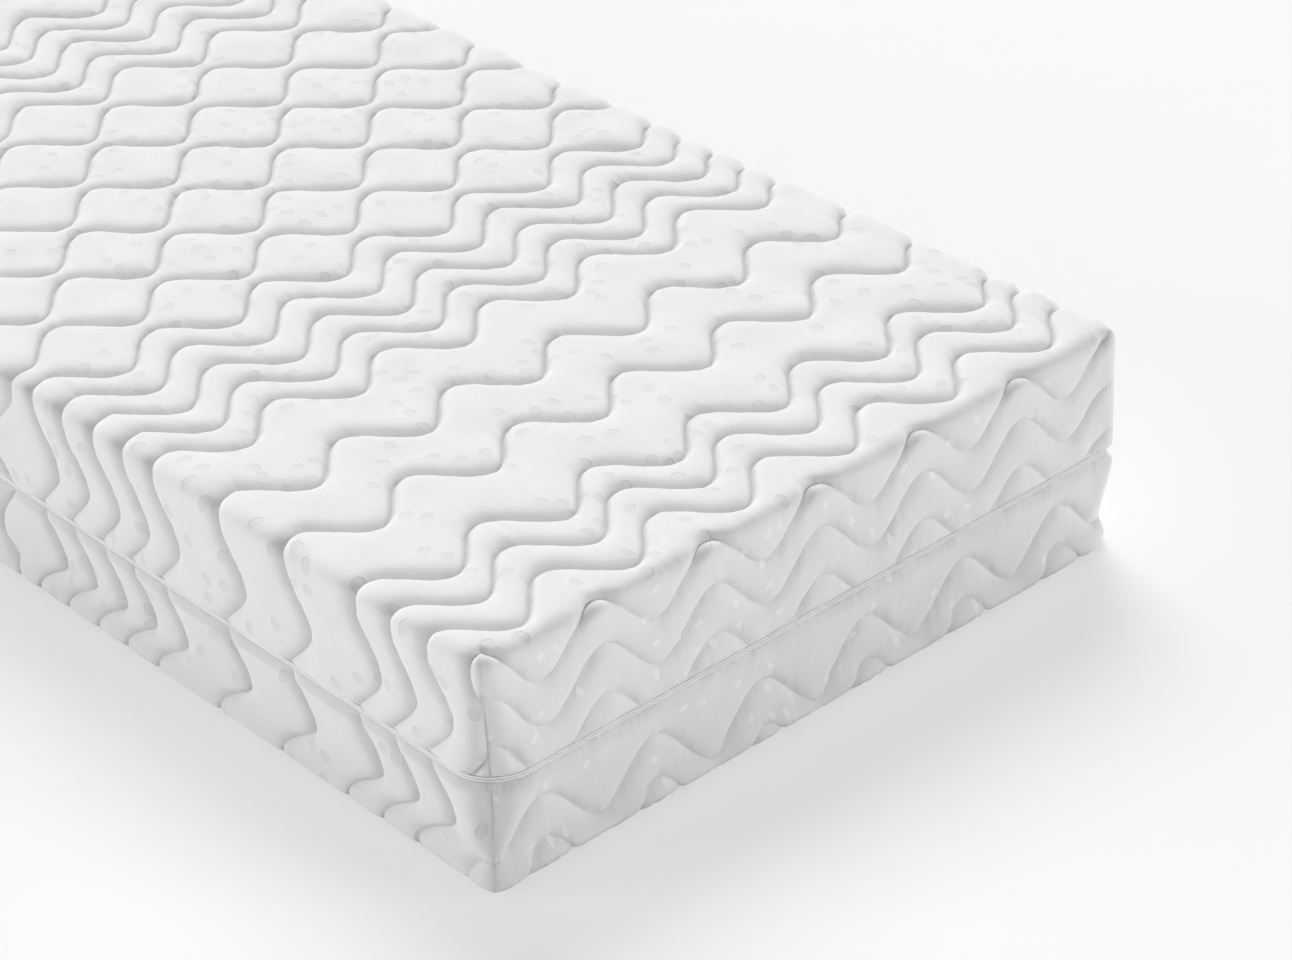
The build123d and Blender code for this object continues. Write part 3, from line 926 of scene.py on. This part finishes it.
for half in HALVES:
    body = half.name + "_cover"
    hem = ZIP + half.up * half.hem_gap
    outside = Layer(half.crown, half.up, hem, LOFT, half.edge, half.corners, HEM_CORNERS, half.square)
    name = half.name + "_quilted_cover"
    cover = quilted_cover(name, outside, hem, half.quilting, half.pressed, half.seed)
    fit(cover, body, "ticking", ticking, *[half.name + "_ticking_" + panel for panel in PANELS])

    under = lining_layer(half, FLEECE_DEPTH, FLEECE_HEM)
    wadding = lining(half.name + "_fleece", under, half.quilting, FLEECE_WALL)
    fit(wadding, body, "wadding", fleece, half.name + "_wadding")

    inner = lining_layer(half, BACKING_DEPTH, BACKING_HEM)
    backing = lining(half.name + "_backing_web", inner, half.quilting, BACKING_WALL)
    fit(backing, body, "backing", backing_web, half.name + "_backing")
    flat = (2 * inner.half_u, 2 * inner.half_v)
    cut = flat[0] * flat[1] - 4 * inner.skirt**2

    band = tape(half.name + "_woven_zip_tape", *levels_of(half, TAPE_REACH))
    fit(band, body, "zip_tape", tape_weave, half.name + "_zip_tape")
    loops = coil(half.name + "_nylon_coil", *levels_of(half, COIL_REACH), half.coil_start)
    fit(loops, body, "zip_coil", coil_nylon, half.name + "_zip_coil")

# Foam core
Foam = namedtuple("Foam", "slot node colour pore low_edge high_edge")
FOAMS = (
    Foam("support_foam", "support_foam_base", (0.84, 0.83, 0.79), 0.0016, FOAM_EDGE, FOAM_CUT),
    Foam("transition_foam", "transition_foam_layer", (0.55, 0.68, 0.80), 0.0013, FOAM_CUT, FOAM_CUT),
    Foam("memory_foam", "memory_foam_layer", (0.86, 0.80, 0.58), 0.0009, FOAM_CUT, FOAM_EDGE),
)
core_top = HEIGHT - CORE
levels = (CORE, core_top - SOFT_FOAM, core_top - MEMORY_FOAM, core_top)
for kind, low, high in zip(FOAMS, levels, levels[1:]):
    block = foam(kind.slot + "_block", low, high, kind.low_edge, kind.high_edge)
    fit(block, "core", kind.slot, cut_foam(kind.slot, kind.colour, kind.pore), kind.node)

# Metal parts of the zip
for node in ("zip_slider", "zip_pull", "upper_zip_stop", "lower_zip_stop"):
    nodes[node].data.materials.clear()
    nodes[node].data.materials.append(zinc)


# Floor and light
BACKDROP = (0.97, 0.97, 0.97, 1)
SKY_LIGHT = (0.24, 0.24, 0.245, 1)
FLOOR_SIZE, FLOOR_LEVEL = 60, -0.0003
FLOOR_GLOW = 0.5  # share of the seen floor that glows, which lightens the shadow


def backdrop_seen(tone):
    """1 where the backdrop itself is looked at, straight, in a gloss or through glass."""
    rays = ("Is Camera Ray", "Is Glossy Ray", "Is Transmission Ray")
    first, second, third = (tone.node("ShaderNodeLightPath", {}, {}, ray) for ray in rays)
    return first.math("MAXIMUM", second).math("MAXIMUM", third)


def floor_paper():
    """Pale paper."""
    made, tone, shader = material("floor_paper", Roughness=0.9)
    speck = tone.own_place().noise(3.0, 2.0)
    wire(shader, Base_Color=speck.blend((0.89, 0.89, 0.892, 1), (0.91, 0.91, 0.912, 1)))
    glow = tone.node("ShaderNodeEmission", {}, {"Color": BACKDROP})
    lit = Tone(made.node_tree, shader.outputs[0])
    both = tone.node("ShaderNodeMixShader", {}, {0: backdrop_seen(tone) * FLOOR_GLOW, 1: lit, 2: glow})
    made.node_tree.links.new(both.socket, made.node_tree.nodes["Material Output"].inputs["Surface"])
    return made


def lamp(name, towards, strength, spread):
    """Soft even light that comes from a direction."""
    data = bpy.data.lights.new(name, "SUN")
    data.energy, data.angle = strength, math.radians(spread)
    obj = bpy.data.objects.new(name, data)
    obj.rotation_euler = Vector(towards).to_track_quat("Z", "Y").to_euler()
    bpy.context.scene.collection.objects.link(obj)


bpy.ops.object.select_all(action="DESELECT")
bpy.ops.mesh.primitive_plane_add(size=FLOOR_SIZE, location=(0, 0, FLOOR_LEVEL))
floor = bpy.context.object
floor.name = "floor"
floor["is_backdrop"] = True
floor.data.materials.append(floor_paper())

lamp("key", towards=(0.39, 0.56, 0.73), strength=2.38, spread=32)
lamp("left", towards=(-0.79, 0.58, 0.20), strength=1.68, spread=36)
lamp("right", towards=(0.60, -0.77, 0.22), strength=1.40, spread=36)
world = bpy.data.worlds.new("studio")
world.use_nodes = True
sky_colour = backdrop_seen(Tone(world.node_tree)).blend(SKY_LIGHT, BACKDROP)
wire(world.node_tree.nodes["Background"], Color=sky_colour)
scene = bpy.context.scene
scene.world = world
scene.view_settings.view_transform = "Standard"

# The camera stands where the photograph was taken from, worked out from the mattress's edges
AZIMUTH, ELEVATION, ROLL = math.radians(-40.94), math.radians(31.49), math.radians(-2.60)
FOCAL_PIXELS, PHOTO_PIXELS, SENSOR = 3706, 1292, 36
NEAR_CORNER = Vector((-0.450, -1.000, 0))
AWAY, ASIDE, ABOVE = 3.580, 0.1454, 0.4050  # from the near corner, along the camera's own axes
back = Vector((
    math.sin(AZIMUTH) * math.cos(ELEVATION),
    -math.cos(AZIMUTH) * math.cos(ELEVATION),
    math.sin(ELEVATION),
))
right = Vector((math.cos(AZIMUTH), math.sin(AZIMUTH), 0))
over = back.cross(right)
side = right * math.cos(ROLL) + over * math.sin(ROLL)
top = over * math.cos(ROLL) - right * math.sin(ROLL)
lens = bpy.data.cameras.new("camera")
lens.sensor_width = SENSOR
lens.lens = FOCAL_PIXELS / PHOTO_PIXELS * SENSOR
camera = bpy.data.objects.new("camera", lens)
camera.matrix_world = Matrix((side, top, back)).transposed().to_4x4()
camera.location = NEAR_CORNER + back * AWAY + side * ASIDE + top * ABOVE
scene.collection.objects.link(camera)
scene.camera = camera

low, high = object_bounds()
